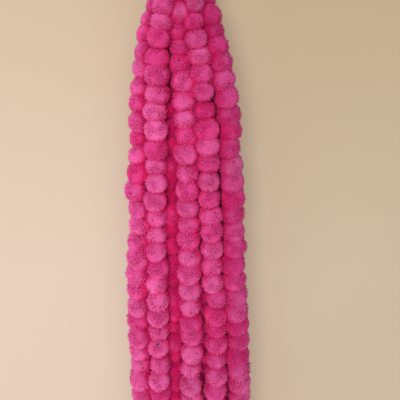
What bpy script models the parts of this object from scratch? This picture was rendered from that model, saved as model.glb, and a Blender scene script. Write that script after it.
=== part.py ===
"""A bundle of eight marigold garlands, hanging from one cord loop.

Each garland is a string of pom-pom flowers on a cotton thread, stopped by a small
knot above its first flower and a larger one below its last. The eight threads are
whipped together under a gathering knot. The loop above that knot bears on a hook
at the origin, so the whole bundle hangs below z = 0.

Units are metres, +Z is up, and the front of the bundle faces -Y.
"""

import math
from bisect import bisect_right
from dataclasses import dataclass

import bmesh
import bpy
from mathutils import Matrix, Vector

# Flowers
FLOWER_RADIUS = 0.021  # the dense heart; loose fibre tips stand a few millimetres proud
WAIST_SHARE = 0.62  # the waist between two flowers, as a share of the radius
END_SHARE = 0.45  # the closed crown at either end of a string
FLOWERS_PER_STRING = 40
FLOWER_SIDES = 7
BORE_RADIUS = 0.0022

# Flowers just under the tie are pressed smaller and closer together
TIE_SQUEEZE = 0.80
SQUEEZE_TOP = -0.120
SQUEEZE_FOOT = -0.360

# Thread and knots
GAP = 0.0003  # clearance between pieces that touch
MERGE_DISTANCE = 0.00001  # joins the last ring of a bored solid to its first
THREAD_RADIUS = 0.00075
THREAD_CLEARANCE = 0.0005  # round the thread, inside a top knot
THREAD_TAIL = 0.004  # bare thread between the last flower and its end knot
TOP_KNOT_RADIUS = 0.0030
TOP_KNOT_LENGTH = 0.0050
END_KNOT_RADIUS = 0.0035
KNOT_SIDES = 8
FIRST_STATION = 0.020  # spacing of the thread's points at the tie, and its growth
STATION_GROWTH = 0.080
SAMPLES_PER_SPAN = 12  # points of the smooth curve between two route points

# Tie
LOOP_CORD_RADIUS = 0.0016
LOOP_EYE_HALF_WIDTH = 0.0090  # inside the loop, at its widest
LOOP_LEG_OFFSET = 0.0024
LOOP_POINTS = 20
KNOT_TOP = -0.036
KNOT_FOOT = -0.054
KNOT_RADIUS = 0.0085
WHIPPING_FOOT = -0.0625
WHIPPING_RADIUS = 0.0060
WHIPPING_TURNS = 5
WHIPPING_GROOVE = 0.0006
TIE_SIDES = 14
LEAVES_RADIUS = 0.0034  # ring on which the threads leave the whipping
LEAVES_STRAIGHT = 0.0060  # straight down before they fan out

# Every thread is led through points at these heights, after it leaves the whipping
HEIGHTS = (-0.120, -0.155, -0.190, -0.250, -0.320, -0.420, -0.520,
           -0.620, -0.750, -0.900, -1.050, -1.300, -1.600)


@dataclass(frozen=True)
class Garland:
    """One string: where its thread runs and how its flowers sit on it."""

    name: str
    pitch: float  # spacing of its flowers where nothing squeezes them
    first: float  # from the whipping, along the thread, to its first flower
    leaves: float  # angle at which its thread leaves the whipping, None for the middle one
    across: tuple  # x at each of HEIGHTS
    depth: tuple  # y at each of HEIGHTS


GARLANDS = (
    Garland("string_01", 0.0371, 0.085, 175,
            (-0.034, -0.043, -0.050, -0.070, -0.081, -0.090, -0.094,
             -0.094, -0.099, -0.102, -0.098, -0.097, -0.098),
            (0.011, 0.010, 0.012, 0.008, 0.007, 0.005, 0.002,
             0.000, -0.004, -0.005, -0.003, -0.003, -0.003)),
    Garland("string_02", 0.0378, 0.054, 228,
            (-0.020, -0.027, -0.033, -0.042, -0.049, -0.055, -0.057,
             -0.056, -0.057, -0.057, -0.056, -0.057, -0.056),
            (-0.020, -0.022, -0.022, -0.022, -0.022, -0.022, -0.022,
             -0.022, -0.022, -0.022, -0.022, -0.022, -0.022)),
    Garland("string_03", 0.0378, 0.060, None,
            (0.004, 0.001, -0.002, -0.004, 0.001, 0.010, 0.012,
             0.014, 0.016, 0.019, 0.021, 0.023, 0.024),
            (0.011, 0.005, -0.002, -0.010, -0.011, -0.011, -0.018,
             -0.018, -0.018, -0.018, -0.018, -0.018, -0.018)),
    Garland("string_04", 0.0376, 0.082, 305,
            (0.017, 0.021, 0.025, 0.031, 0.040, 0.051, 0.056,
             0.061, 0.069, 0.078, 0.077, 0.078, 0.079),
            (-0.021, -0.024, -0.026, -0.027, -0.026, -0.023, -0.022,
             -0.022, -0.022, -0.022, -0.022, -0.022, -0.022)),
    Garland("string_05", 0.0364, 0.106, 0,
            (0.032, 0.040, 0.048, 0.066, 0.085, 0.100, 0.108,
             0.111, 0.117, 0.125, 0.132, 0.134, 0.134),
            (0.011, 0.007, 0.003, -0.003, -0.006, -0.008, -0.008,
             -0.008, -0.008, -0.008, -0.008, -0.008, -0.008)),
    Garland("string_06", 0.0374, 0.096, 130,
            (-0.018, -0.021, -0.021, -0.022, -0.023, -0.023, -0.023,
             -0.023, -0.022, -0.021, -0.021, -0.020, -0.019),
            (0.042, 0.040, 0.036, 0.027, 0.024, 0.016, 0.008,
             0.006, 0.005, 0.005, 0.005, 0.005, 0.005)),
    Garland("string_07", 0.0372, 0.110, 85,
            (0.010, 0.012, 0.013, 0.018, 0.025, 0.032, 0.036,
             0.040, 0.044, 0.048, 0.049, 0.050, 0.051),
            (0.050, 0.050, 0.049, 0.046, 0.038, 0.030, 0.025,
             0.021, 0.017, 0.016, 0.016, 0.016, 0.016)),
    Garland("string_08", 0.0366, 0.114, 45,
            (0.038, 0.045, 0.048, 0.056, 0.067, 0.078, 0.084,
             0.087, 0.094, 0.102, 0.105, 0.106, 0.106),
            (0.042, 0.041, 0.040, 0.036, 0.033, 0.030, 0.029,
             0.029, 0.029, 0.029, 0.028, 0.028, 0.028)),
)


def finish(name, colour, roughness, metallic=0.0):
    """A plain Principled material."""
    material = bpy.data.materials.new(name)
    material.use_nodes = True
    shader = material.node_tree.nodes["Principled BSDF"]
    shader.inputs["Base Color"].default_value = (*colour, 1.0)
    shader.inputs["Roughness"].default_value = roughness
    shader.inputs["Metallic"].default_value = metallic
    material.diffuse_color = (*colour, 1.0)
    return material


def add_object(name, data, material):
    """Put a mesh or a curve in the scene under its node's name."""
    data.materials.append(material)
    piece = bpy.data.objects.new(name, data)
    bpy.context.scene.collection.objects.link(piece)
    return piece


def add_mesh(name, shape, material):
    """Turn a closed bmesh into a smooth-shaded object."""
    bmesh.ops.recalc_face_normals(shape, faces=shape.faces)
    mesh = bpy.data.meshes.new(name)
    shape.to_mesh(mesh)
    shape.free()
    mesh.shade_smooth()
    mesh.set_sharp_from_angle(angle=math.radians(60))
    return add_object(name, mesh, material)


def add_tube(name, points, radius, material):
    """A round cord with closed ends along a list of points."""
    curve = bpy.data.curves.new(name, "CURVE")
    curve.dimensions = "3D"
    curve.bevel_depth = radius
    curve.bevel_resolution = 2
    curve.use_fill_caps = True
    spline = curve.splines.new("POLY")
    spline.points.add(len(points) - 1)
    for place, point in zip(spline.points, points):
        place.co = (*point, 1.0)
    return add_object(name, curve, material)


def blend(start, end, share):
    """An eased value between start and end, where share runs from 0 to 1."""
    share = min(max(share, 0.0), 1.0)
    return start + (end - start) * share * share * (3.0 - 2.0 * share)


def squeeze(height):
    """How small the flowers are pressed at a height: TIE_SQUEEZE at the tie, 1 below."""
    return blend(TIE_SQUEEZE, 1.0, (SQUEEZE_TOP - height) / (SQUEEZE_TOP - SQUEEZE_FOOT))


def curve_point(before, start, end, after, share):
    """A point between start and end on the centripetal Catmull-Rom curve."""
    knots = [0.0]
    for a, b in ((before, start), (start, end), (end, after)):
        knots.append(knots[-1] + math.sqrt((b - a).length))
    t = knots[1] + (knots[2] - knots[1]) * share

    def between(p, q, low, high):
        return p.lerp(q, (t - knots[low]) / (knots[high] - knots[low]))

    first = between(before, start, 0, 1)
    middle = between(start, end, 1, 2)
    last = between(end, after, 2, 3)
    return between(between(first, middle, 0, 2), between(middle, last, 1, 3), 1, 2)


class Route:
    """A smooth curve through a list of points, measured along its own length."""

    def __init__(self, points):
        ends = [2 * points[0] - points[1], *points, 2 * points[-1] - points[-2]]
        self.points = [
            curve_point(*ends[i:i + 4], step / SAMPLES_PER_SPAN)
            for i in range(len(points) - 1)
            for step in range(SAMPLES_PER_SPAN)
        ]
        self.points.append(points[-1])
        self.reach = [0.0]
        for a, b in zip(self.points, self.points[1:]):
            self.reach.append(self.reach[-1] + (b - a).length)

    def at(self, distance):
        """The point at a distance from the start."""
        i = min(max(bisect_right(self.reach, distance), 1), len(self.reach) - 1)
        share = (distance - self.reach[i - 1]) / (self.reach[i] - self.reach[i - 1])
        return self.points[i - 1].lerp(self.points[i], share)

    def direction(self, distance):
        """The way the curve runs at a distance from the start."""
        span = 0.004
        return (self.at(distance + span) - self.at(distance - span)).normalized()


def ring(centre, direction, radius):
    """The place of a ring across a direction that runs mostly downwards."""
    turn = Vector((0, 0, -1)).rotation_difference(direction)
    return Matrix.LocRotScale(centre, turn, Vector((radius, radius, radius)))


def skin(rings, sides):
    """A tube extruded from ring to ring. Returns it with the edges of its two ends."""
    shape = bmesh.new()
    made = bmesh.ops.create_circle(shape, radius=1.0, segments=sides, matrix=rings[0])
    start = list({edge for vert in made["verts"] for edge in vert.link_edges})
    end = start
    for here, following in zip(rings, rings[1:]):
        grown = bmesh.ops.extrude_edge_only(shape, edges=end)["geom"]
        verts = [part for part in grown if isinstance(part, bmesh.types.BMVert)]
        end = [part for part in grown if isinstance(part, bmesh.types.BMEdge)]
        bmesh.ops.transform(shape, matrix=following @ here.inverted(), verts=verts)
    return shape, start, end


def skin_bored(outside, bore, sides):
    """A solid with a hole right through: down its outside and back up its bore."""
    rings = [*outside, *reversed(bore), outside[0]]
    shape, _, _ = skin(rings, sides)
    bmesh.ops.remove_doubles(shape, verts=shape.verts, dist=MERGE_DISTANCE)
    return shape


def garland_route(garland):
    """The thread's way from the whipping down past its last flower."""
    start = Vector((0.0, 0.0, WHIPPING_FOOT - GAP))
    if garland.leaves is not None:
        angle = math.radians(garland.leaves)
        start += LEAVES_RADIUS * Vector((math.cos(angle), math.sin(angle), 0.0))
    below = start - Vector((0.0, 0.0, LEAVES_STRAIGHT))
    places = zip(garland.across, garland.depth, HEIGHTS)
    return Route([start, below, *(Vector(place) for place in places)])


def flower_distances(garland, route):
    """The distance along the thread of the middle of each flower."""
    found = [garland.first]
    while len(found) < FLOWERS_PER_STRING:
        found.append(found[-1] + garland.pitch * squeeze(route.at(found[-1]).z))
    return found


def thread_distances(length, knot_top, knot_foot):
    """Where the thread has a point: close together at the tie, further apart below.

    It has one at each end of its top knot, and so runs straight through it.
    """
    found = [0.0, LEAVES_STRAIGHT]
    while length - found[-1] > FIRST_STATION:
        found.append(min(found[-1] + FIRST_STATION + STATION_GROWTH * found[-1], length))
    found[-1] = length
    clear = [s for s in found if s < knot_top - TOP_KNOT_LENGTH or s > knot_foot + TOP_KNOT_LENGTH]
    return sorted([*clear, knot_top, knot_foot])


def add_flowers(garland, route, flowers, top, foot, stations, material):
    """One string's flowers, from top to foot: a beaded column, bored along its thread."""
    profile = [(top, END_SHARE)]
    for here, below in zip(flowers, flowers[1:]):
        profile += [(here, 1.0), ((here + below) / 2, WAIST_SHARE)]
    profile += [(flowers[-1], 1.0), (foot, END_SHARE)]
    outside = []
    for distance, share in profile:
        centre = route.at(distance)
        radius = FLOWER_RADIUS * squeeze(centre.z) * share
        outside.append(ring(centre, route.direction(distance), radius))
    bore = [
        ring(route.at(distance), route.direction(distance), BORE_RADIUS)
        for distance in (top, *(s for s in stations if top + GAP < s < foot - GAP), foot)
    ]
    add_mesh(f"{garland.name}_flowers", skin_bored(outside, bore, FLOWER_SIDES), material)


def add_top_knot(garland, top, foot, material):
    """The stop knot above the first flower, with the thread running through it."""
    direction = (foot - top).normalized()
    outside = [
        ring(top.lerp(foot, down), direction, TOP_KNOT_RADIUS * share)
        for down, share in ((0.0, 0.6), (0.3, 1.0), (0.7, 1.0), (1.0, 0.6))
    ]
    bore = [ring(end, direction, THREAD_RADIUS + THREAD_CLEARANCE) for end in (top, foot)]
    add_mesh(f"{garland.name}_top_knot", skin_bored(outside, bore, KNOT_SIDES), material)


def add_end_knot(garland, route, length, material):
    """The larger knot that the thread ends in, below its last flower."""
    centre = route.at(length) + route.direction(length) * (GAP + END_KNOT_RADIUS)
    shape = bmesh.new()
    bmesh.ops.create_uvsphere(
        shape, u_segments=KNOT_SIDES, v_segments=6, radius=END_KNOT_RADIUS,
        matrix=Matrix.Translation(centre))
    add_mesh(f"{garland.name}_end_knot", shape, material)


def add_garland(garland, petals, thread):
    """One whole string: flowers, thread and both knots."""
    route = garland_route(garland)
    flowers = flower_distances(garland, route)
    top = flowers[0] - garland.pitch / 2 * squeeze(route.at(flowers[0]).z)
    foot = flowers[-1] + garland.pitch / 2
    length = foot + THREAD_TAIL
    knot_foot = top - GAP
    knot_top = knot_foot - TOP_KNOT_LENGTH
    stations = thread_distances(length, knot_top, knot_foot)
    add_flowers(garland, route, flowers, top, foot, stations, petals)
    add_tube(f"{garland.name}_thread", [route.at(s) for s in stations], THREAD_RADIUS, thread)
    add_top_knot(garland, route.at(knot_top), route.at(knot_foot), thread)
    add_end_knot(garland, route, length, thread)


def add_turned(name, profile, material):
    """A solid turned about the Z axis from (radius, height) pairs, closed at both ends."""
    down = Vector((0, 0, -1))
    rings = [ring(Vector((0, 0, height)), down, radius) for radius, height in profile]
    shape, start, end = skin(rings, TIE_SIDES)
    for edges in (start, end):
        bmesh.ops.contextual_create(shape, geom=edges)
    add_mesh(name, shape, material)


def add_hanging_loop(material):
    """An upright eye of cord: two legs that leave the knot and meet over the hook."""
    apex = LOOP_CORD_RADIUS
    wide = LOOP_EYE_HALF_WIDTH + LOOP_CORD_RADIUS
    shoulder = apex - wide
    start = KNOT_TOP + GAP
    points = []
    for i in range(LOOP_POINTS + 1):
        turn = math.pi * (1.0 - i / LOOP_POINTS)
        side = math.cos(turn)
        rise = math.sin(turn)
        points.append(Vector((wide * side, 0.0, shoulder + wide * rise)))
    legs = [
        Vector((blend(LOOP_LEG_OFFSET, wide, k / 4), 0.0, start + (shoulder - start) * k / 4))
        for k in range(4)
    ]
    left = [Vector((-leg.x, leg.y, leg.z)) for leg in legs]
    add_tube("hanging_loop", [*left, *points, *reversed(legs)], LOOP_CORD_RADIUS, material)


def add_tie(material):
    """The loop, the knot that gathers it and the whipping that holds the threads."""
    add_hanging_loop(material)
    height = KNOT_TOP - KNOT_FOOT
    steps = 6
    profile = []
    for i in range(steps + 1):
        angle = math.radians(20 + 140 * i / steps)
        profile.append((KNOT_RADIUS * math.sin(angle) ** 0.7, KNOT_TOP - height * i / steps))
    add_turned("gathering_knot", profile, material)

    top = KNOT_FOOT - GAP
    step = (top - WHIPPING_FOOT) / (2 * WHIPPING_TURNS)
    profile = [
        (WHIPPING_RADIUS - (WHIPPING_GROOVE if i % 2 == 0 else 0.0), top - step * i)
        for i in range(2 * WHIPPING_TURNS + 1)
    ]
    add_turned("thread_whipping", profile, material)


def main():
    for old in list(bpy.data.objects):
        bpy.data.objects.remove(old, do_unlink=True)
    petals = finish("marigold_fibre", (0.72, 0.055, 0.25), 0.85)
    thread = finish("string_thread", (0.05, 0.09, 0.05), 0.8)
    cord = finish("tie_cord", (0.78, 0.72, 0.60), 0.85)
    add_tie(cord)
    for garland in GARLANDS:
        add_garland(garland, petals, thread)


main()
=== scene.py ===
"""The looks of a bundle of eight marigold garlands that hangs from one cord loop.

Each garland is a cotton thread strung with pom-pom flowers of cut fibre. The flowers,
the threads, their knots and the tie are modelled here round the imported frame, in its own
metres: +Z is up, the front faces -Y and the hook bears on the loop at the origin.
"""

import logging
import math
import random
from bisect import bisect_right
from dataclasses import dataclass
from enum import Enum

import bmesh
import bpy
import numpy as np
from mathutils import Matrix, Quaternion, Vector, noise

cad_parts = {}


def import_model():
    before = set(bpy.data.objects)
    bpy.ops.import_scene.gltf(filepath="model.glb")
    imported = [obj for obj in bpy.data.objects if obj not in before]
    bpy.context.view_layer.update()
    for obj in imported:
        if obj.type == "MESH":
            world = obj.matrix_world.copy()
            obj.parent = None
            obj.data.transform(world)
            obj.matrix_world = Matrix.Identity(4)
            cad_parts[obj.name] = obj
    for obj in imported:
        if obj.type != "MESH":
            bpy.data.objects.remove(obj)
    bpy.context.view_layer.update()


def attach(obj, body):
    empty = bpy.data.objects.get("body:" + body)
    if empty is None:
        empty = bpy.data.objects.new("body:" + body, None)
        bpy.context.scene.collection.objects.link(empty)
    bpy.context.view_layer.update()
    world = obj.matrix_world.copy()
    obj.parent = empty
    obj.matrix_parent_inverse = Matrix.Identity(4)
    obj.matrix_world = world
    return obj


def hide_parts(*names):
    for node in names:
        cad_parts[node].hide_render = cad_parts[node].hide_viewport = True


LOG = logging.getLogger("marigold_garland")
UP = Vector((0.0, 0.0, 1.0))
DOWN = Vector((0.0, 0.0, -1.0))
BODY = "root"

# Every thread is led through points at these heights, after it leaves the whipping
HEIGHTS = (-0.120, -0.155, -0.190, -0.250, -0.320, -0.420, -0.520,
           -0.620, -0.750, -0.900, -1.050, -1.300, -1.600)


class Dye(Enum):
    """The shades that the flowers' fibre was dyed, as linear red, green and blue."""

    PALE = (0.87, 0.198, 0.572)
    ROSE = (0.86, 0.158, 0.515)
    HOT_PINK = (0.85, 0.120, 0.455)
    DEEP_PINK = (0.84, 0.084, 0.380)


class Slot(Enum):
    """The record's material slots."""

    FIBRE = "marigold_fibre"
    THREAD = "string_thread"
    TIE = "tie_cord"


class NodeTree:
    """A new material, and short ways to add and join its nodes."""

    def __init__(self, name: str) -> None:
        """Start a material with a Principled shader.

        Args:
            name: what the material is called.
        """
        self.material = bpy.data.materials.new(name)
        self.material.use_nodes = True
        self.nodes = self.material.node_tree.nodes
        self.shader = self.nodes["Principled BSDF"]

    def add(self, kind: str, **settings: object) -> bpy.types.Node:
        """Add a node.

        Args:
            kind: the node's type, without its ShaderNode prefix.
            settings: its properties.

        Returns:
            The node.
        """
        node = self.nodes.new(f"ShaderNode{kind}")
        for key, value in settings.items():
            setattr(node, key, value)
        return node

    def join(self, source: bpy.types.NodeSocket, target: bpy.types.NodeSocket) -> None:
        """Link an output to an input."""
        self.material.node_tree.links.new(source, target)

    def set(self, **values: object) -> None:
        """Set the shader's own sockets, with underscores for spaces in their names."""
        for key, value in values.items():
            self.shader.inputs[key.replace("_", " ")].default_value = value

    def attribute(self, name: str) -> bpy.types.Node:
        """Return a node that reads one of the mesh's attributes."""
        return self.add("Attribute", attribute_name=name)

    def noise(self, scale: float, detail: float = 2.0, stretch: tuple = (1, 1, 1)) -> bpy.types.Node:
        """Add a noise pattern on Object coordinates.

        Args:
            scale: repeats per metre.
            detail: octaves of finer noise.
            stretch: factors on X, Y and Z.

        Returns:
            The noise node.
        """
        place = self.add("TexCoord")
        mapping = self.add("Mapping")
        mapping.inputs["Scale"].default_value = stretch
        pattern = self.add("TexNoise")
        pattern.inputs["Scale"].default_value = scale
        pattern.inputs["Detail"].default_value = detail
        self.join(place.outputs["Object"], mapping.inputs["Vector"])
        self.join(mapping.outputs["Vector"], pattern.inputs["Vector"])
        return pattern

    def spread(self, source: bpy.types.NodeSocket, low: float, high: float,
               start: float = 0.0, end: float = 1.0) -> bpy.types.NodeSocket:
        """Rescale a value.

        Args:
            source: the value.
            low: what start becomes.
            high: what end becomes.
            start: the value's lower end.
            end: its upper end.

        Returns:
            The rescaled value, held between low and high.
        """
        scaled = self.add("MapRange")
        for name, value in (("From Min", start), ("From Max", end), ("To Min", low), ("To Max", high)):
            scaled.inputs[name].default_value = value
        self.join(source, scaled.inputs["Value"])
        return scaled.outputs["Result"]

    def blend(self, share: object, first: object, second: object,
              kind: str = "MIX") -> bpy.types.NodeSocket:
        """Mix two colours.

        Args:
            share: how much of the second, as a number or the output of another node.
            first: a colour, or the output of another node.
            second: a colour, or the output of another node.
            kind: how they are blended.

        Returns:
            The mixed colour.
        """
        mix = self.add("Mix", data_type="RGBA", blend_type=kind)
        if isinstance(share, bpy.types.NodeSocket):
            self.join(share, mix.inputs[0])
        else:
            mix.inputs[0].default_value = share
        for socket, colour in ((mix.inputs[6], first), (mix.inputs[7], second)):
            if isinstance(colour, bpy.types.NodeSocket):
                self.join(colour, socket)
            else:
                socket.default_value = (*colour, 1.0)
        return mix.outputs[2]

    def bump(self, height: bpy.types.NodeSocket, depth: float, strength: float = 1.0) -> None:
        """Roughen the surface.

        Args:
            height: the pattern.
            depth: its full height in metres.
            strength: how much of it shows.
        """
        node = self.add("Bump")
        node.inputs["Strength"].default_value = strength
        node.inputs["Distance"].default_value = depth
        self.join(height, node.inputs["Height"])
        self.join(node.outputs["Normal"], self.shader.inputs["Normal"])


@dataclass(frozen=True)
class FlowerFibre:
    """Cut synthetic fibre: bright and dry at its trimmed tips, and painted deep crimson where the tufts
    part, as painted shade in the partings.
    """

    # painted shade: the colour in the partings between the tufts, darker and redder than the dye
    painted_parting_shade: tuple = (0.52, 0.006, 0.110)
    dye_shows: tuple = (0.18, 0.98)  # reach where the dye starts to show through the painted shade, and where it shows in full
    strands: float = 900.0  # repeats per metre
    strand_speckle: float = 0.08
    tufts: float = 300.0  # repeats per metre
    tuft_speckle: float = 0.19
    combed_speckle: float = 0.25  # what is left of the speckle where the flower is brushed smooth
    strand_depth: float = 0.0004
    sheen: float = 0.15
    sheen_tint: tuple = (1.0, 0.50, 0.72, 1.0)

    def make(self) -> bpy.types.Material:
        """Return the flowers' material, which reads each flower's dye from its mesh and paints shade where
        the tufts part.
        """
        tree = NodeTree("marigold_fibre")
        reach = tree.attribute("reach").outputs["Fac"]
        dye = tree.attribute("dye").outputs["Color"]
        # painted shade: the dye gives way to the parting colour towards the roots of the tufts
        colour = tree.blend(tree.spread(reach, 0.0, 1.0, *self.dye_shows), self.painted_parting_shade, dye)
        strands = tree.noise(self.strands, 3.0).outputs["Fac"]
        tufts = tree.noise(self.tufts).outputs["Fac"]
        loose = tree.spread(tree.attribute("combed").outputs["Fac"], 1.0, self.combed_speckle)
        for pattern, most in ((strands, self.strand_speckle), (tufts, self.tuft_speckle)):
            speckle = tree.add("Math", operation="MULTIPLY_ADD")
            tree.join(tree.spread(pattern, -most, most, 0.3, 0.7), speckle.inputs[0])
            tree.join(loose, speckle.inputs[1])
            speckle.inputs[2].default_value = 1.0
            grey = tree.add("CombineColor")
            for channel in ("Red", "Green", "Blue"):
                tree.join(speckle.outputs["Value"], grey.inputs[channel])
            colour = tree.blend(1.0, colour, grey.outputs["Color"], "MULTIPLY")
        tree.join(colour, tree.shader.inputs["Base Color"])
        tree.join(tree.spread(reach, 0.95, 0.70), tree.shader.inputs["Roughness"])
        tree.set(Sheen_Weight=self.sheen, Sheen_Roughness=0.5, Sheen_Tint=self.sheen_tint,
                 Diffuse_Roughness=1.0, Specular_IOR_Level=0.0)
        tree.bump(strands, self.strand_depth, 0.6)
        return tree.material


@dataclass(frozen=True)
class Cotton:
    """Spun cotton, for the threads and for the cord of the tie."""

    name: str
    colour: tuple
    shadow: tuple
    strand: float  # repeats per metre of its fine fibres
    sheen: float = 0.25
    soil: float = 60.0  # repeats per metre of its soiled patches
    fibre_depth: float = 0.0002

    def make(self) -> bpy.types.Material:
        """Return the cotton's material, with fibres that run aslant, as they are spun."""
        tree = NodeTree(self.name)
        fibres = tree.noise(self.strand, 3.0, (1.0, 1.0, 0.35)).outputs["Fac"]
        soil = tree.noise(self.soil).outputs["Fac"]
        colour = tree.blend(tree.spread(fibres, 0.0, 1.0, 0.35, 0.65), self.shadow, self.colour)
        colour = tree.blend(tree.spread(soil, 0.0, 0.35, 0.45, 0.75), colour, self.shadow)
        tree.join(colour, tree.shader.inputs["Base Color"])
        tree.join(tree.spread(fibres, 0.95, 0.78), tree.shader.inputs["Roughness"])
        tree.set(Sheen_Weight=self.sheen, Sheen_Roughness=0.5, Specular_IOR_Level=0.3)
        tree.bump(fibres, self.fibre_depth, 0.7)
        return tree.material


@dataclass(frozen=True)
class Plaster:
    """Pale painted plaster, for the wall and the floor, which glows; on the wall, painted light makes it
    lighter at the left and darker and warmer at the top. From behind, it is not there.
    """

    name: str
    # painted light: its colour at the lit left and at the darker right
    left: tuple
    right: tuple
    top: tuple  # the painted darker, warmer tint of its upper part, where less light falls
    glow: float = 0.66  # light that it gives off itself, though it is no lamp, which lifts its shadows
    fade: float = 0.22  # how far to each side of the middle the painted fall-off of light from left to right runs
    tinted: tuple = (-0.8, -0.1)  # heights between which the painted tint of the top comes in
    mottle: float = 0.96  # how dark its darker patches are

    def make(self) -> bpy.types.Material:
        """Return the plaster's material."""
        tree = NodeTree(self.name)
        patches = tree.noise(1.6, 3.0).outputs["Fac"]
        place = tree.add("SeparateXYZ")
        tree.join(tree.add("TexCoord").outputs["Object"], place.inputs["Vector"])
        # painted light: lighter at the left, darker and warmer at the top
        aside = tree.spread(place.outputs["X"], 0.0, 1.0, -self.fade, self.fade)
        upward = tree.spread(place.outputs["Z"], 0.0, 1.0, *self.tinted)
        colour = tree.blend(aside, self.left, self.right)
        colour = tree.blend(upward, colour, tree.blend(1.0, colour, self.top, "MULTIPLY"))
        darker = tree.blend(1.0, colour, (self.mottle,) * 3, "MULTIPLY")
        colour = tree.blend(tree.spread(patches, 0.0, 1.0, 0.35, 0.65), darker, colour)
        tree.join(colour, tree.shader.inputs["Base Color"])
        # painted light: the plaster glows with its own colour
        tree.join(colour, tree.shader.inputs["Emission Color"])
        tree.set(Roughness=0.9, Specular_IOR_Level=0.2, Emission_Strength=self.glow)
        clear = tree.add("BsdfTransparent")
        side = tree.add("NewGeometry")
        either = tree.add("MixShader")
        tree.join(side.outputs["Backfacing"], either.inputs[0])
        tree.join(tree.shader.outputs[0], either.inputs[1])
        tree.join(clear.outputs[0], either.inputs[2])
        tree.join(either.outputs[0], tree.nodes["Material Output"].inputs["Surface"])
        return tree.material


def to_mesh(name: str, shape: bmesh.types.BMesh) -> bpy.types.Mesh:
    """Return a bmesh as a mesh of that name, and free it."""
    mesh = bpy.data.meshes.new(name)
    shape.to_mesh(mesh)
    shape.free()
    return mesh


def show(name: str, data: bpy.types.ID) -> bpy.types.Object:
    """Return an object made of this data, which is added to the scene."""
    thing = bpy.data.objects.new(name, data)
    bpy.context.scene.collection.objects.link(thing)
    return thing


def eased(start: float, end: float, share: float) -> float:
    """Return a value between start and end, eased, where share runs from 0 to 1."""
    share = min(max(share, 0.0), 1.0)
    return start + (end - start) * share * share * (3.0 - 2.0 * share)


def curve_point(before: Vector, start: Vector, end: Vector, after: Vector, share: float) -> Vector:
    """Find a point of the centripetal Catmull-Rom curve.

    Args:
        before: the route point before start.
        start: where the span starts.
        end: where the span ends.
        after: the route point after end.
        share: how far along the span, from 0 to 1.

    Returns:
        The point.
    """
    knots = [0.0]
    for a, b in ((before, start), (start, end), (end, after)):
        knots.append(knots[-1] + math.sqrt((b - a).length))
    t = knots[1] + (knots[2] - knots[1]) * share

    def between(p: Vector, q: Vector, low: int, high: int) -> Vector:
        """Return the point between p and q for two of the knots."""
        return p.lerp(q, (t - knots[low]) / (knots[high] - knots[low]))

    first = between(before, start, 0, 1)
    middle = between(start, end, 1, 2)
    last = between(end, after, 2, 3)
    return between(between(first, middle, 0, 2), between(middle, last, 1, 3), 1, 2)


class Route:
    """A smooth curve through a list of points, measured along its own length."""

    SAMPLES_PER_SPAN = 12
    LOOK = 0.004  # how far ahead and behind its direction is taken

    def __init__(self, points: list) -> None:
        """Lay the curve.

        Args:
            points: the places it is led through, in order.
        """
        ends = [2 * points[0] - points[1], *points, 2 * points[-1] - points[-2]]
        self.points = [
            curve_point(*ends[i:i + 4], step / self.SAMPLES_PER_SPAN)
            for i in range(len(points) - 1)
            for step in range(self.SAMPLES_PER_SPAN)
        ]
        self.points.append(points[-1])
        self.reach = [0.0]
        for a, b in zip(self.points, self.points[1:]):
            self.reach.append(self.reach[-1] + (b - a).length)

    def at(self, distance: float) -> Vector:
        """Return the point at a distance from the start."""
        i = min(max(bisect_right(self.reach, distance), 1), len(self.reach) - 1)
        share = (distance - self.reach[i - 1]) / (self.reach[i] - self.reach[i - 1])
        return self.points[i - 1].lerp(self.points[i], share)

    def direction(self, distance: float) -> Vector:
        """Return the way the curve runs at a distance from the start."""
        return (self.at(distance + self.LOOK) - self.at(distance - self.LOOK)).normalized()


def fine(points: list, step: float = 0.0008) -> list:
    """Return the points of a smooth route through these, that far apart."""
    route = Route(points)
    count = int(route.reach[-1] / step)
    return [route.at(route.reach[-1] * i / count) for i in range(count + 1)]


@dataclass(frozen=True)
class Strand:
    """The cross section of a twisted cord."""

    radius: float
    plies: int = 3
    groove: float = 0.22  # how deep the plies part, as a share of the radius
    lay: float = 0.0085  # length of one full turn of a ply
    sides: int = 12

    def sweep(self, shape: bmesh.types.BMesh, points: list) -> None:
        """Draw the cord along a line of points, closed at both ends.

        Args:
            shape: the mesh that it is added to.
            points: the cord's centre line, close enough together to show the lay.
        """
        frames = self.frames(points)
        made = bmesh.ops.create_circle(shape, radius=self.radius, segments=self.sides)["verts"]
        for vert in made:
            around = math.atan2(vert.co.y, vert.co.x)
            vert.co *= 1.0 - self.groove * (0.5 - 0.5 * math.cos(self.plies * around))
        edges = list({edge for vert in made for edge in vert.link_edges})
        bmesh.ops.transform(shape, matrix=frames[0], verts=made)
        bmesh.ops.contextual_create(shape, geom=edges)
        for here, following in zip(frames, frames[1:]):
            grown = bmesh.ops.extrude_edge_only(shape, edges=edges)["geom"]
            made = [part for part in grown if isinstance(part, bmesh.types.BMVert)]
            edges = [part for part in grown if isinstance(part, bmesh.types.BMEdge)]
            bmesh.ops.transform(shape, matrix=following @ here.inverted(), verts=made)
        bmesh.ops.contextual_create(shape, geom=edges)

    def frames(self, points: list) -> list:
        """Place the cross section along the points.

        Args:
            points: the cord's centre line.

        Returns:
            A matrix for each point, turned no more than the line and the lay ask for.
        """
        places = []
        turn = Quaternion()
        along = UP
        travelled = 0.0
        for i, point in enumerate(points):
            ahead = points[min(i + 1, len(points) - 1)]
            behind = points[max(i - 1, 0)]
            heading = (ahead - behind).normalized()
            turn = along.rotation_difference(heading) @ turn
            along = heading
            travelled += (point - behind).length
            twist = Quaternion(UP, math.tau * travelled / self.lay)
            places.append(Matrix.LocRotScale(point, turn @ twist, None))
        return places


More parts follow.
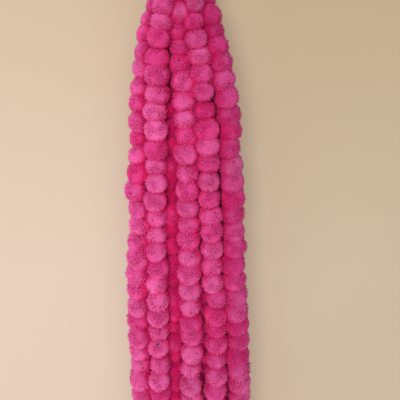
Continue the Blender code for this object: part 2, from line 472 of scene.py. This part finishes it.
def place_piece(name: str, shape: object, material: bpy.types.Material,
                slot: Slot, *nodes: str) -> bpy.types.Object:
    """Put a piece of the object in the scene, at the origin, with its place in its mesh.

    Args:
        name: the piece's name.
        shape: its mesh or curve, or a closed bmesh, which is used up.
        material: its finish.
        slot: the record's slot for that finish; not used.
        nodes: the CAD nodes that it stands for.

    Returns:
        The piece.
    """
    if isinstance(shape, bmesh.types.BMesh):
        bmesh.ops.recalc_face_normals(shape, faces=shape.faces)
        shape = to_mesh(name, shape)
        shape.shade_smooth()
    shape.materials.append(material)
    piece = show(name, shape)
    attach(piece, BODY)
    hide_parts(*nodes)
    return piece


@dataclass(frozen=True)
class FlowerForm:
    """The shape of one pom-pom flower of radius 1: tufts of fibre, trimmed to a ball."""

    splits: int = 5  # cuts along each edge of the icosahedron that it starts from
    uneven_foot: float = 0.0525  # how far the foot of a tuft lies off its place
    parting: float = 0.84  # radius at which the tufts part
    parting_spread: float = 0.012
    closed: float = 0.12  # how far out the tufts stay closed, where the ball is brushed smooth
    brushed: float = 1.1  # brushed patches across one radius
    brushed_most: float = 0.9  # how smoothly they are brushed in their middles
    brushed_share: float = 0.45  # how much of the ball they cover
    brushed_edge: float = 1.6  # how sharply they end
    upper: float = 0.25  # how much more its upper side is brushed, where the fibres lie down; its lighter painted shade there makes the upper side look lit from above
    uneven: float = 0.045  # how far clumps of fibre stand in or out
    clump: float = 3.4  # clumps across one radius
    tip_swell: float = 1.6  # how much further the tips of a clump stand in or out than its foot
    ragged: float = 0.065  # how unevenly the tufts are trimmed
    combed_trim: float = 0.85  # how much less so where the ball is brushed smooth
    trimmed: float = 1.12  # how far out the longest tuft reaches
    lean: float = 0.140  # how far a tuft's tip leans aside
    dull: float = 0.85  # how bright the dullest tip is
    combed_dull: float = 0.12  # how much duller the tips are where the ball is brushed smooth
    foot_reach: float = 0.28  # how bright the painted shade leaves the fibre between two tufts
    combed_reach: float = 0.70  # and how bright it leaves it there, where the ball is brushed smooth
    gaps: float = 0.09  # share of the tufts that are missing where it isn't brushed smooth
    strays: int = 150  # single fibres that stand proud of the ball
    stray_reach: float = 1.10
    stray_spread: float = 0.03
    stray_lean: float = 0.35
    stray_width: float = 0.014
    stray_length: float = 0.34
    stray_root: float = 0.45  # how bright a fibre is painted at its root, as painted shade inside the ball

    REACH = 1.15  # how far out the furthest fibre stands

    def build(self, seed: int) -> bpy.types.Mesh:
        """Make one flower.

        Args:
            seed: which flower of its kind.

        Returns:
            Its mesh, whose attribute reach is 0 where tufts part and 1 at their tips, which sets their
            painted shade, and whose attribute combed is 1 where it is brushed smooth.
        """
        chance = random.Random(seed)
        shape = bmesh.new()
        layer = shape.verts.layers.float.new("reach")
        combed = shape.verts.layers.float.new("combed")
        bmesh.ops.create_icosphere(shape, subdivisions=1, radius=1.0)
        bmesh.ops.subdivide_edges(shape, edges=shape.edges[:], cuts=self.splits, use_grid_fill=True)
        for vert in shape.verts:
            outward = vert.co.normalized()
            aside = self.aside(outward, chance, self.uneven_foot)
            smooth = self.smoothness(outward, seed)
            level = self.parting + self.closed * smooth + self.swell(outward, seed)
            level += chance.gauss(0.0, self.parting_spread)
            vert.co = (outward + aside).normalized() * level
            # painted shade: how dark the parting between the tufts is painted, lighter where the ball is
            # brushed smooth
            vert[layer] = self.foot_reach + (self.combed_reach - self.foot_reach) * smooth
            vert[combed] = smooth
        for edge in shape.edges:
            edge.smooth = False
        tips = bmesh.ops.poke(shape, faces=shape.faces[:])["verts"]
        for tip in tips:
            outward = tip.co.normalized()
            smooth = self.smoothness(outward, seed)
            ragged = self.ragged * (1.0 - self.combed_trim * smooth)
            level = 1.0 + self.tip_swell * self.swell(outward, seed) + chance.gauss(0.0, ragged)
            tip[layer] = chance.uniform(self.dull, 1.0) * (1.0 - self.combed_dull * smooth)
            # a missing tuft leaves a hole with the full painted shade of a parting
            if chance.random() < self.gaps * (1.0 - smooth):
                level = self.parting
                tip[layer] = 0.0
            tip.co = outward * min(level, self.trimmed) + self.aside(outward, chance, self.lean)
            tip[combed] = smooth
        self.add_strays(shape, layer, chance)
        for face in shape.faces:
            face.smooth = True
        return to_mesh(f"flower_form_{seed}", shape)

    def swell(self, outward: Vector, seed: int) -> float:
        """Return how far the clump in a direction stands out."""
        return self.uneven * noise.noise(outward * self.clump + Vector((7.3 * seed, 0.0, 0.0)))

    def smoothness(self, outward: Vector, seed: int) -> float:
        """Return how smoothly the tufts are brushed in a direction, from 0 to 1."""
        pattern = noise.noise(outward * self.brushed + Vector((0.0, 5.1 * seed, 0.0)))
        share = self.brushed_share + self.brushed_edge * pattern + self.upper * outward.z
        return eased(0.0, self.brushed_most, share)

    @staticmethod
    def aside(outward: Vector, chance: random.Random, most: float) -> Vector:
        """Return a random step across a direction, of up to that length."""
        step = Vector([chance.uniform(-most, most) for _ in range(3)])
        return step - step.project(outward)

    def add_strays(self, shape: bmesh.types.BMesh, layer: object, chance: random.Random) -> None:
        """Add the single fibres.

        Args:
            shape: the flower so far.
            layer: its reach attribute.
            chance: where its random numbers come from.
        """
        for _ in range(self.strays):
            outward = Vector([chance.gauss(0.0, 1.0) for _ in range(3)]).normalized()
            heading = (outward + self.aside(outward, chance, self.stray_lean)).normalized()
            tip = min(self.stray_reach + chance.gauss(0.0, self.stray_spread), self.REACH)
            middle = outward * (tip - self.stray_length / 2)
            place = Matrix.LocRotScale(middle, UP.rotation_difference(heading), None)
            made = bmesh.ops.create_cone(
                shape, cap_ends=True, segments=3, radius1=self.stray_width, radius2=0.0,
                depth=self.stray_length, matrix=place)["verts"]
            for vert in made:
                vert[layer] = 1.0 if vert.co.length > 1.0 else self.stray_root


@dataclass(frozen=True)
class Garland:
    """One string: where its thread runs and how its flowers sit on it."""

    name: str
    pitch: float  # spacing of its flowers where nothing squeezes them
    first: float  # from the whipping, along the thread, to its first flower
    leaves: float | None  # angle at which its thread leaves the whipping, none for the middle one
    flower: float  # radius of a flower over its tips
    dyes: tuple  # how many of its flowers, in parts, have each dye, weighted as painted light and shade: deep dyes for string_06 behind, pale ones to lift the shaded strings 07 and 08
    shade: float  # painted light and shade: how much lighter or darker its flowers are painted for how the light falls on this string, darkest on the right
    across: tuple  # x at each of HEIGHTS
    depth: tuple  # y at each of HEIGHTS
    joins: tuple = ()  # the flowers below which a new length of thread is tied on
    outlying: tuple = ()  # a flower that a join pushes out of line, and how far along X
    full: tuple = (1.0, 1.0)  # how full its flowers are up at the tie and down at the foot

    FLOWERS = 40
    DROOP = 0.25  # how far the outward side of a flower hangs down, as a share of its distance out
    REAR_FROM = 0.004  # beyond this y a flower's outward side is the rear one
    FULL_TOP = -0.25
    FULL_FOOT = -0.95
    SQUEEZE = 0.80  # flowers just under the tie are pressed smaller and closer
    SQUEEZE_TOP = -0.120
    SQUEEZE_FOOT = -0.360
    THREAD_TAIL = 0.004
    LEAVES_FROM = -0.0628
    LEAVES_RADIUS = 0.0034
    LEAVES_STRAIGHT = 0.0060

    def route(self) -> Route:
        """Return the thread's way from the whipping down past its last flower."""
        start = Vector((0.0, 0.0, self.LEAVES_FROM))
        if self.leaves is not None:
            angle = math.radians(self.leaves)
            start += self.LEAVES_RADIUS * Vector((math.cos(angle), math.sin(angle), 0.0))
        below = start - Vector((0.0, 0.0, self.LEAVES_STRAIGHT))
        places = zip(self.across, self.depth, HEIGHTS)
        return Route([start, below, *(Vector(place) for place in places)])

    def squeeze(self, height: float) -> float:
        """Return how small the flowers are pressed at a height: SQUEEZE at the tie, 1 below."""
        return eased(self.SQUEEZE, 1.0,
                     (self.SQUEEZE_TOP - height) / (self.SQUEEZE_TOP - self.SQUEEZE_FOOT))

    def fullness(self, height: float) -> float:
        """Return how full the flowers are at a height, as a share of their usual size."""
        return eased(*self.full, (self.FULL_TOP - height) / (self.FULL_TOP - self.FULL_FOOT))

    def flowers(self, route: Route) -> list:
        """Find the flowers' places.

        Args:
            route: the thread's way.

        Returns:
            The distance along it of the middle of each flower.
        """
        found = [self.first]
        while len(found) < self.FLOWERS:
            found.append(found[-1] + self.pitch * self.squeeze(route.at(found[-1]).z))
        return found


GARLANDS = (
    Garland("string_01", 0.0371, 0.085, 175, 0.0258, (5, 5, 2, 1), 1.09,
            (-0.034, -0.043, -0.050, -0.070, -0.081, -0.090, -0.094,
             -0.094, -0.096, -0.099, -0.095, -0.094, -0.095),
            (0.011, 0.010, 0.012, 0.008, 0.007, 0.005, 0.002,
             0.000, -0.004, -0.005, -0.003, -0.003, -0.003),
            joins=(14, 16), outlying=(13, -0.0085), full=(1.0, 1.09)),
    Garland("string_02", 0.0378, 0.054, 228, 0.0268, (4, 5, 3, 1), 1.06,
            (-0.020, -0.027, -0.033, -0.042, -0.049, -0.055, -0.057,
             -0.056, -0.056, -0.0555, -0.054, -0.055, -0.054),
            (-0.020, -0.022, -0.022, -0.022, -0.022, -0.022, -0.022,
             -0.022, -0.022, -0.022, -0.022, -0.022, -0.022),
            joins=(23,), full=(1.0, 0.93)),
    Garland("string_03", 0.0378, 0.060, None, 0.0266, (4, 5, 3, 1), 1.01,
            (0.004, 0.001, -0.002, -0.004, 0.001, 0.010, 0.012,
             0.014, 0.016, 0.019, 0.021, 0.023, 0.024),
            (0.011, 0.005, -0.002, -0.010, -0.011, -0.011, -0.018,
             -0.018, -0.018, -0.018, -0.018, -0.018, -0.018),
            joins=(12,), full=(1.10, 1.0)),
    Garland("string_04", 0.0376, 0.082, 305, 0.0270, (2, 5, 5, 2), 0.92,
            (0.017, 0.021, 0.025, 0.031, 0.040, 0.051, 0.056,
             0.061, 0.069, 0.078, 0.077, 0.078, 0.079),
            (-0.021, -0.024, -0.026, -0.027, -0.026, -0.023, -0.022,
             -0.022, -0.022, -0.022, -0.022, -0.022, -0.022),
            full=(0.94, 1.0)),
    Garland("string_05", 0.0364, 0.106, 0, 0.0268, (1, 4, 5, 3), 0.78,
            (0.032, 0.040, 0.047, 0.065, 0.083, 0.098, 0.106,
             0.109, 0.115, 0.123, 0.130, 0.132, 0.133),
            (0.011, 0.007, 0.002, -0.005, -0.008, -0.011, -0.011,
             -0.011, -0.011, -0.011, -0.010, -0.009, -0.008),
            full=(1.07, 1.05)),
    Garland("string_06", 0.0374, 0.096, 130, 0.0264, (0, 0, 1, 4), 0.92,
            (-0.018, -0.021, -0.021, -0.022, -0.023, -0.023, -0.023,
             -0.023, -0.022, -0.021, -0.021, -0.020, -0.019),
            (0.042, 0.040, 0.036, 0.027, 0.024, 0.016, 0.008,
             0.006, 0.005, 0.005, 0.005, 0.005, 0.005)),
    Garland("string_07", 0.0372, 0.110, 85, 0.0264, (3, 4, 2, 0), 1.03,
            (0.010, 0.012, 0.013, 0.018, 0.025, 0.032, 0.036,
             0.040, 0.044, 0.048, 0.049, 0.050, 0.051),
            (0.050, 0.050, 0.049, 0.046, 0.038, 0.030, 0.025,
             0.021, 0.017, 0.016, 0.016, 0.016, 0.016)),
    Garland("string_08", 0.0366, 0.114, 45, 0.0264, (3, 4, 2, 0), 1.05,
            (0.038, 0.045, 0.048, 0.056, 0.067, 0.078, 0.084,
             0.087, 0.094, 0.102, 0.105, 0.106, 0.106),
            (0.042, 0.041, 0.040, 0.036, 0.033, 0.030, 0.029,
             0.029, 0.029, 0.029, 0.028, 0.028, 0.028)),
)


@dataclass(frozen=True)
class Bloom:
    """One flower on its string."""

    form: bpy.types.Mesh
    place: Matrix
    radius: float
    dye: tuple

    def points(self) -> np.ndarray:
        """Return where its vertices are, one row for each."""
        flat = np.empty(3 * len(self.form.vertices), dtype=np.float32)
        self.form.vertices.foreach_get("co", flat)
        place = np.array(self.place)
        return flat.reshape(-1, 3) @ place[:3, :3].T + place[:3, 3]


@dataclass
class FlowerStrings:
    """All the flowers, one piece for each string."""

    fibre: bpy.types.Material
    form: FlowerForm = FlowerForm()
    forms: int = 6  # different flowers, which are turned and sized to look like many
    size_spread: float = 0.028
    off_place: tuple = (0.0016, 0.0042, 0.0019)  # how far it sits off its place, along X, Y and Z
    front: float = -0.0574  # how far forward a flower's tips may stand
    tip_over: float = 0.5  # how far a flower has turned over, in radians
    droop_spread: float = 0.04
    shade_spread: float = 0.05
    near: float = 0.11  # how close another flower has to be to shade this one
    pressed: tuple = (0.98, 0.18, 0.44)  # painted shade: what the dye keeps in the crevices between flowers, where they shade each other
    shade_from: float = 0.32  # how much of a place's outlook is hidden where that painted shade starts to show
    shade_full: float = 1.45  # and where it shows in full

    def build(self) -> None:
        """Make every string's flowers."""
        meshes = [self.form.build(seed) for seed in range(self.forms)]
        strings = {
            garland.name: self.lay_out(garland, meshes, random.Random(101 + number))
            for number, garland in enumerate(GARLANDS)
        }
        everyone = [bloom for blooms in strings.values() for bloom in blooms]
        for name, blooms in strings.items():
            self.build_string(name, blooms, everyone)
        for mesh in meshes:
            bpy.data.meshes.remove(mesh)

    def lay_out(self, garland: Garland, meshes: list, chance: random.Random) -> list:
        """Choose one string's flowers.

        Args:
            garland: the string.
            meshes: the different flowers.
            chance: where its random numbers come from.

        Returns:
            Its blooms, from the top down.
        """
        route = garland.route()
        sag = random.Random(garland.name)
        blooms = []
        for number, distance in enumerate(garland.flowers(route)):
            form = chance.choice(meshes)
            place, radius = self.place(garland, route, distance, chance)
            if garland.outlying and number == garland.outlying[0]:
                place.translation.x += garland.outlying[1]
            place = self.droop(place.translation, sag) @ place
            # painted light and shade: the string's painted level, darker where the flowers are packed
            # under the tie
            shade = garland.shade * garland.squeeze(route.at(distance).z)
            blooms.append(Bloom(form, place, radius, self.dye(garland, shade, chance)))
        return blooms

    def build_string(self, string: str, blooms: list, everyone: list) -> None:
        """Make one string's flowers.

        Args:
            string: its name.
            blooms: its flowers.
            everyone: the flowers of all the strings.
        """
        shape = bmesh.new()
        for bloom in blooms:
            start = len(shape.verts)
            shape.from_mesh(bloom.form)
            shape.verts.ensure_lookup_table()
            bmesh.ops.transform(shape, matrix=bloom.place, verts=shape.verts[start:])
        name = f"{string}_pompoms"
        mesh = to_mesh(name, shape)
        # the dye attribute carries each flower's dye with the painted shade between flowers
        layer = mesh.attributes.new("dye", "FLOAT_COLOR", "POINT")
        dyes = np.concatenate([self.dyes(bloom, everyone) for bloom in blooms])
        layer.data.foreach_set("color", dyes.astype(np.float32).ravel())
        place_piece(name, mesh, self.fibre, Slot.FIBRE, f"{string}_flowers")
        LOG.info("%s: %d flowers, %d faces", name, len(blooms), len(mesh.polygons))

    def dyes(self, bloom: Bloom, everyone: list) -> np.ndarray:
        """Work out a flower's colour at each vertex, with painted shade: deeper and redder where others
        stand close round it and shade it.

        Args:
            bloom: the flower.
            everyone: the flowers of all the strings.

        Returns:
            A row of linear red, green, blue and 1 for each vertex.
        """
        points = bloom.points()
        middle = np.array(bloom.place.translation)
        outward = (points - middle) / np.linalg.norm(points - middle, axis=1)[:, np.newaxis]
        hidden = np.zeros(len(points))
        for other in everyone:
            apart = (other.place.translation - bloom.place.translation).length
            if other is bloom or apart > self.near:
                continue
            ahead = np.array(other.place.translation) - points
            away = np.linalg.norm(ahead, axis=1)
            size = np.minimum(other.radius / away, 1.0)
            facing = (ahead * outward).sum(axis=1) / away
            hidden += size ** 2 * np.clip((facing + size) / (1.0 + size), 0.0, 1.0)
        # painted shade: the more of its outlook other flowers hide, the more a vertex takes the pressed
        # tint
        deep = np.clip((hidden - self.shade_from) / (self.shade_full - self.shade_from), 0.0, 1.0)
        deep = (deep * deep * (3.0 - 2.0 * deep))[:, np.newaxis]
        return np.array(bloom.dye) * (1.0 + deep * (np.array((*self.pressed, 1.0)) - 1.0))

    def place(self, garland: Garland, route: Route, distance: float, chance: random.Random) -> tuple:
        """Work out where a flower goes.

        Args:
            garland: its string.
            route: the string's way.
            distance: the flower's place along it.
            chance: where its random numbers come from.

        Returns:
            The matrix from a flower of radius 1 to this one, and its radius.
        """
        centre = route.at(distance)
        radius = garland.flower * garland.squeeze(centre.z) * garland.fullness(centre.z)
        radius *= 1.0 + chance.gauss(0.0, self.size_spread)
        centre += Vector([chance.gauss(0.0, most) for most in self.off_place])
        centre.y = max(centre.y, self.front + FlowerForm.REACH * radius)
        along = DOWN.rotation_difference(route.direction(distance))
        size = Vector((radius,) * 3)
        turned = Matrix.Rotation(chance.uniform(0.0, math.tau), 4, "Z")
        tipped = Matrix.Rotation(chance.gauss(0.0, self.tip_over), 4, "X")
        return Matrix.LocRotScale(centre, along, size) @ turned @ tipped, radius

    def droop(self, centre: Vector, sag: random.Random) -> Matrix:
        """Let the outward side of a flower hang down.

        Args:
            centre: its centre.
            sag: where the random numbers for this come from.

        Returns:
            The matrix that does so.
        """
        lean = Matrix.Identity(4)
        lean[2][1] = sag.gauss(Garland.DROOP, self.droop_spread)
        if centre.y > Garland.REAR_FROM:
            lean[2][1] *= -1.0
        moved = Matrix.Translation(centre)
        return moved @ lean @ moved.inverted()

    def dye(self, garland: Garland, shade: float, chance: random.Random) -> tuple:
        """Choose a flower's own colour, with its string's painted light and shade.

        Args:
            garland: its string.
            shade: how light it is painted, for the light that falls on its string, and darker where it is
                pressed together under the tie.
            chance: where its random numbers come from.

        Returns:
            Linear red, green and blue, near one of its string's dyes, and 1.
        """
        dye = chance.choices(list(Dye), weights=garland.dyes)[0]
        level = shade * (1.0 + chance.gauss(0.0, self.shade_spread))
        return (*(level * value for value in dye.value), 1.0)


@dataclass
class Threads:
    """The cotton thread of each string, and the knots that stop its flowers."""

    cotton: bpy.types.Material
    radius: float = 0.00075
    top_knot: float = 0.0050  # length of the stop knot above the first flower
    top_knot_radius: float = 0.0030
    end_knot_radius: float = 0.0035
    knot_turns: int = 3
    knot_steps: int = 16  # stations along each of those turns
    knot_tuck: float = 0.55  # how far its first and last turns are drawn in
    knot_rise: float = 1.3  # from its first turn to its last, in knot radii
    knot_slant: float = 0.18
    knot_core: float = 0.72
    join_radius: float = 0.0019
    join_proud: float = 0.0030  # how far a join stands out past the flowers' waist
    join_root: float = 0.0020
    join_aside: tuple = (-0.15, 0.05)  # how far aside a join points
    join_tails: tuple = (0.9, 2.6, 4.4)  # angles at which its cut ends splay, in radians
    join_tail: float = 0.0058
    join_bend: float = 0.0010
    first_station: float = 0.020
    station_growth: float = 0.080
    gap: float = 0.0003

    def strand(self) -> Strand:
        """Return the cross section of the thread where it is tied."""
        return Strand(self.radius, plies=2, groove=0.25, lay=0.004, sides=8)

    def build(self) -> None:
        """Make every string's thread and knots."""
        for garland in GARLANDS:
            self.build_thread(garland)

    def build_thread(self, garland: Garland) -> None:
        """Args:
            garland: the string that it carries.
        """
        route = garland.route()
        flowers = garland.flowers(route)
        top = flowers[0] - garland.pitch / 2 * garland.squeeze(route.at(flowers[0]).z)
        length = flowers[-1] + garland.pitch / 2 + garland.THREAD_TAIL
        curve = bpy.data.curves.new(f"{garland.name}_cotton", "CURVE")
        curve.dimensions = "3D"
        curve.bevel_depth = self.radius
        curve.bevel_resolution = 2
        curve.use_fill_caps = True
        spline = curve.splines.new("POLY")
        points = [route.at(distance) for distance in self.stations(length)]
        spline.points.add(len(points) - 1)
        for place, point in zip(spline.points, points):
            place.co = (*point, 1.0)
        thread = place_piece(curve.name, curve, self.cotton, Slot.THREAD, f"{garland.name}_thread")
        knots = [
            self.knot(f"{garland.name}_stop_knot", route, top - self.gap - self.top_knot / 2,
                      self.top_knot_radius, f"{garland.name}_top_knot"),
            self.knot(f"{garland.name}_foot_knot", route, length + self.gap + self.end_knot_radius,
                      self.end_knot_radius, f"{garland.name}_end_knot"),
        ]
        if garland.joins:
            knots.append(self.build_joins(garland, route, flowers))
        tuple(route.at(0.0))
        LOG.info("%s: %.3f m of thread", thread.name, length)

    def stations(self, length: float) -> list:
        """Space the thread's points.

        Args:
            length: the thread's whole length.

        Returns:
            Their distances along it, close together at the tie and further apart below.
        """
        found = [0.0, Garland.LEAVES_STRAIGHT]
        while length - found[-1] > self.first_station:
            found.append(min(found[-1] + self.first_station + self.station_growth * found[-1], length))
        found[-1] = length
        return found

    def build_joins(self, garland: Garland, route: Route, flowers: list) -> bpy.types.Object:
        """Make the little knots, with their ends, where the thread was lengthened.

        Args:
            garland: the string.
            route: the thread's way.
            flowers: the distance along it of each flower.

        Returns:
            The piece, which shows between the flowers.
        """
        chance = random.Random(garland.name)
        shape = bmesh.new()
        for flower in garland.joins:
            centre = route.at((flowers[flower - 1] + flowers[flower]) / 2)
            waist = math.sqrt(garland.flower ** 2 - (garland.pitch / 2) ** 2)
            outward = Vector((chance.uniform(*self.join_aside), -1.0, 0.0)).normalized()
            tied = centre + outward * (waist + self.join_proud) + DOWN * waist * garland.DROOP
            root = centre + outward * self.join_root
            self.strand().sweep(shape, fine([root, centre.lerp(tied, 0.6), tied]))
            bmesh.ops.create_icosphere(shape, subdivisions=2, radius=self.join_radius,
                                       matrix=Matrix.Translation(tied))
            for turn in self.join_tails:
                splay = Vector((math.cos(turn), -0.55, math.sin(turn))).normalized()
                tip = tied + splay * self.join_tail * chance.uniform(0.8, 1.2)
                bend = tied.lerp(tip, 0.5) + outward * self.join_bend
                self.strand().sweep(shape, fine([tied, bend, tip]))
        return place_piece(f"{garland.name}_tied_ends", shape, self.cotton, Slot.THREAD)

    def knot(self, name: str, route: Route, distance: float, radius: float, node: str) -> bpy.types.Object:
        """Make one knot: a few turns of thread drawn up tight round the thread.

        Args:
            name: the piece's name.
            route: the thread's way.
            distance: the knot's middle along it.
            radius: over the turns.
            node: the CAD node that it stands for.

        Returns:
            The piece.
        """
        along = DOWN.rotation_difference(route.direction(distance))
        place = Matrix.LocRotScale(route.at(distance), along, None)
        count = self.knot_turns * self.knot_steps
        line = []
        for i in range(count + 1):
            share = i / count
            around = math.tau * i / self.knot_steps
            out = (radius - self.radius) * (1.0 - self.knot_tuck * (1.0 - math.sin(math.pi * share)))
            rise = radius * (self.knot_rise * (share - 0.5) + self.knot_slant * math.sin(around))
            line.append(place @ Vector((out * math.cos(around), out * math.sin(around), rise)))
        shape = bmesh.new()
        self.strand().sweep(shape, line)
        bmesh.ops.create_icosphere(shape, subdivisions=2, radius=self.knot_core * radius, matrix=place)
        return place_piece(name, shape, self.cotton, Slot.THREAD, node)


@dataclass
class Tie:
    """The loop on the hook, the knot that gathers it and the whipping round the threads."""

    cord: bpy.types.Material
    cord_radius: float = 0.0016
    eye_half_width: float = 0.0090
    leg_offset: float = 0.0024
    knot_top: float = -0.036
    knot_foot: float = -0.054
    knot_radius: float = 0.0085
    knot_turns: int = 5
    knot_belly: float = 0.28  # how much smaller its first and last turns are, as a share
    knot_core: float = 0.0088  # half the height of the core under the turns
    riding_out: float = 1.05  # radius of the riding turn, as a share of the other turns'
    riding_slant: float = 0.0050  # how far it rises and falls
    whipping_foot: float = -0.0625
    whipping_radius: float = 0.0060
    whipping_turns: int = 5
    step: float = 0.0008  # between stations along the cord
    leg_spans: int = 6  # between the points that a leg of the loop is led through
    arch_spans: int = 16
    riding_spans: int = 24  # in a whole turn, of which the riding turn leaves out three

    def build(self) -> None:
        """Make the loop, the knot and the whipping."""
        self.build_loop()
        self.build_knot()
        self.build_whipping()

    def build_loop(self) -> None:
        """Make the upright eye: two legs that leave the knot and meet over the hook."""
        wide = self.eye_half_width + self.cord_radius
        shoulder = self.cord_radius - wide
        start = self.knot_top - self.cord_radius
        legs = [
            Vector((eased(self.leg_offset, wide, share), 0.0, start + (shoulder - start) * share))
            for share in (k / self.leg_spans for k in range(self.leg_spans))
        ]
        arch = [
            Vector((wide * math.cos(turn), 0.0, shoulder + wide * math.sin(turn)))
            for turn in (math.pi * (1.0 - i / self.arch_spans) for i in range(self.arch_spans + 1))
        ]
        left = [Vector((-leg.x, leg.y, leg.z)) for leg in legs]
        shape = bmesh.new()
        Strand(self.cord_radius).sweep(shape, fine([*left, *arch, *reversed(legs)]))
        place_piece("hanging_loop_cord", shape, self.cord, Slot.TIE, "hanging_loop")
        LOG.info("hanging loop: %d points of its route", len(legs) * 2 + len(arch))

    def coil(self, top: float, foot: float, turns: int, radius: float, belly: float) -> list:
        """Wind a helix round the Z axis.

        Args:
            top: height of its first turn.
            foot: height of its last turn.
            turns: how many.
            radius: of its middle turn.
            belly: how much less its first and last turns are, as a share.

        Returns:
            Its points.
        """
        count = int(turns * math.tau * radius / self.step)
        line = []
        for i in range(count + 1):
            share = i / count
            around = math.tau * turns * share
            out = radius * (1.0 - belly * (2.0 * share - 1.0) ** 2)
            line.append(Vector((out * math.cos(around), out * math.sin(around),
                                top + (foot - top) * share)))
        return line

    def build_knot(self) -> None:
        """Make the gathering knot: turns of the cord, with one turn riding over them."""
        middle = (self.knot_top + self.knot_foot) / 2
        radius = self.knot_radius - self.cord_radius
        inset = self.cord_radius
        strand = Strand(self.cord_radius)
        shape = bmesh.new()
        strand.sweep(shape, self.coil(self.knot_top - inset, self.knot_foot + inset,
                                      self.knot_turns, radius, self.knot_belly))
        out = self.riding_out * radius
        riding = [
            Vector((out * math.cos(turn), out * math.sin(turn),
                    middle + self.riding_slant * math.cos(turn + 0.6)))
            for turn in (math.tau * i / self.riding_spans - math.pi
                         for i in range(self.riding_spans - 2))
        ]
        strand.sweep(shape, fine(riding))
        bmesh.ops.create_uvsphere(
            shape, u_segments=20, v_segments=12, radius=1.0,
            matrix=Matrix.LocRotScale(Vector((0.0, 0.0, middle)), None,
                                      Vector((radius, radius, self.knot_core))))
        place_piece("gathering_knot_turns", shape, self.cord, Slot.TIE, "gathering_knot")
        LOG.info("gathering knot: %d turns and a riding turn", self.knot_turns)

    def build_whipping(self) -> None:
        """Make the whipping: close turns of a thinner cord round the gathered threads."""
        height = self.knot_foot - self.whipping_foot
        thin = height / (self.whipping_turns + 1) / 2
        radius = self.whipping_radius - thin
        top = self.knot_foot - thin
        foot = self.whipping_foot + thin
        shape = bmesh.new()
        Strand(thin, plies=2, groove=0.2, lay=0.005, sides=10).sweep(
            shape, self.coil(top, foot, self.whipping_turns, radius, 0.0))
        bmesh.ops.create_cone(
            shape, cap_ends=True, segments=24, radius1=radius, radius2=radius,
            depth=height - thin, matrix=Matrix.Translation((0.0, 0.0, (top + foot) / 2)))
        place_piece("whipping_turns", shape, self.cord, Slot.TIE, "thread_whipping")
        LOG.info("whipping: %d turns", self.whipping_turns)


@dataclass
class Studio:
    """The wall and floor, the soft lights and the camera."""

    wall_behind: float = 0.080  # y of the wall
    floor_height: float = -1.75
    reach: float = 3.2  # how far the wall and the floor go to each side
    eye: tuple = (0.039, -1.0856, -0.415)
    tilt: float = 10.0  # degrees that the camera looks down
    half_view: float = 0.4024  # half the view's width at a distance of 1

    def build(self) -> None:
        """Make the stage, the lights and the camera."""
        self.build_stage()
        self.build_lights()
        self.build_camera()

    def build_stage(self) -> None:
        """Make the wall, which the bundle hangs against, and the floor."""
        wall = Matrix.Translation((0.0, self.wall_behind, 0.0)) @ Matrix.Rotation(math.pi / 2, 4, "X")
        floor = Matrix.Translation((0.0, 0.0, self.floor_height))
        # painted light: the wall is painted lighter at the left and darker and warmer at the top
        plaster = Plaster("wall_plaster", left=(0.436, 0.364, 0.302), right=(0.356, 0.299, 0.226),
                          top=(0.87, 0.83, 0.72))
        screed = Plaster("floor_screed", left=(0.70, 0.62, 0.53), right=(0.70, 0.62, 0.53),
                         top=(1.0, 1.0, 1.0))
        for name, place, material in (("wall", wall, plaster.make()), ("floor", floor, screed.make())):
            shape = bmesh.new()
            bmesh.ops.create_grid(shape, x_segments=1, y_segments=1, size=self.reach, matrix=place)
            mesh = to_mesh(name, shape)
            mesh.materials.append(material)
            plane = show(name, mesh)
            plane.visible_shadow = False

    def build_lights(self) -> None:
        """Make a window-like key from the left, weak lights in front and behind, and a surround."""
        self.area("key", place=(-0.85, -2.65, 0.05), target=(0.0, 0.0, -0.65), size=1.2,
                  power=33.0, colour=(1.0, 0.97, 0.93))
        self.area("fill", place=(0.1, -2.6, -0.4), target=(0.0, 0.0, -0.7), size=2.0,
                  power=16.5, colour=(1.0, 0.96, 0.93))
        self.area("rear", place=(0.6, 2.4, 0.2), target=(0.0, 0.0, -0.8), size=2.0,
                  power=16.0, colour=(1.0, 0.96, 0.93))
        world = bpy.data.worlds.new("surround")
        world.use_nodes = True
        background = world.node_tree.nodes["Background"]
        background.inputs["Color"].default_value = (1.0, 0.96, 0.92, 1.0)
        background.inputs["Strength"].default_value = 0.46
        bpy.context.scene.world = world

    @staticmethod
    def area(name: str, place: tuple, target: tuple, size: float, power: float, colour: tuple) -> None:
        """Add a square area light.

        Args:
            name: its name.
            place: where it stands.
            target: the point that it faces.
            size: its side.
            power: in watts.
            colour: linear red, green and blue.
        """
        light = bpy.data.lights.new(name, "AREA")
        light.size = size
        light.energy = power
        light.color = colour
        lamp = show(name, light)
        lamp.location = place
        lamp.rotation_euler = (Vector(target) - Vector(place)).to_track_quat("-Z", "Y").to_euler()

    def build_camera(self) -> None:
        """Make the camera, which looks slightly down on the bundle."""
        lens = bpy.data.cameras.new("camera")
        lens.sensor_width = 36.0
        lens.lens = lens.sensor_width / 2 / self.half_view
        lens.clip_start = 0.01
        camera = show("camera", lens)
        camera.location = self.eye
        camera.rotation_euler = (math.radians(90.0 - self.tilt), 0.0, 0.0)
        scene = bpy.context.scene
        scene.camera = camera
        scene.view_settings.view_transform = "Standard"


def main() -> None:
    """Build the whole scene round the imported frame."""
    logging.basicConfig(level=logging.INFO, format="%(message)s")
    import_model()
    Studio().build()
    dark = Cotton("dark_cotton", colour=(0.040, 0.055, 0.050), shadow=(0.012, 0.020, 0.018),
                  strand=1500.0, sheen=0.1)
    pale = Cotton("pale_cotton", colour=(0.80, 0.74, 0.62), shadow=(0.50, 0.43, 0.33), strand=1100.0)
    Threads(dark.make()).build()
    Tie(pale.make()).build()
    FlowerStrings(FlowerFibre().make()).build()


if __name__ == "__main__":
    main()
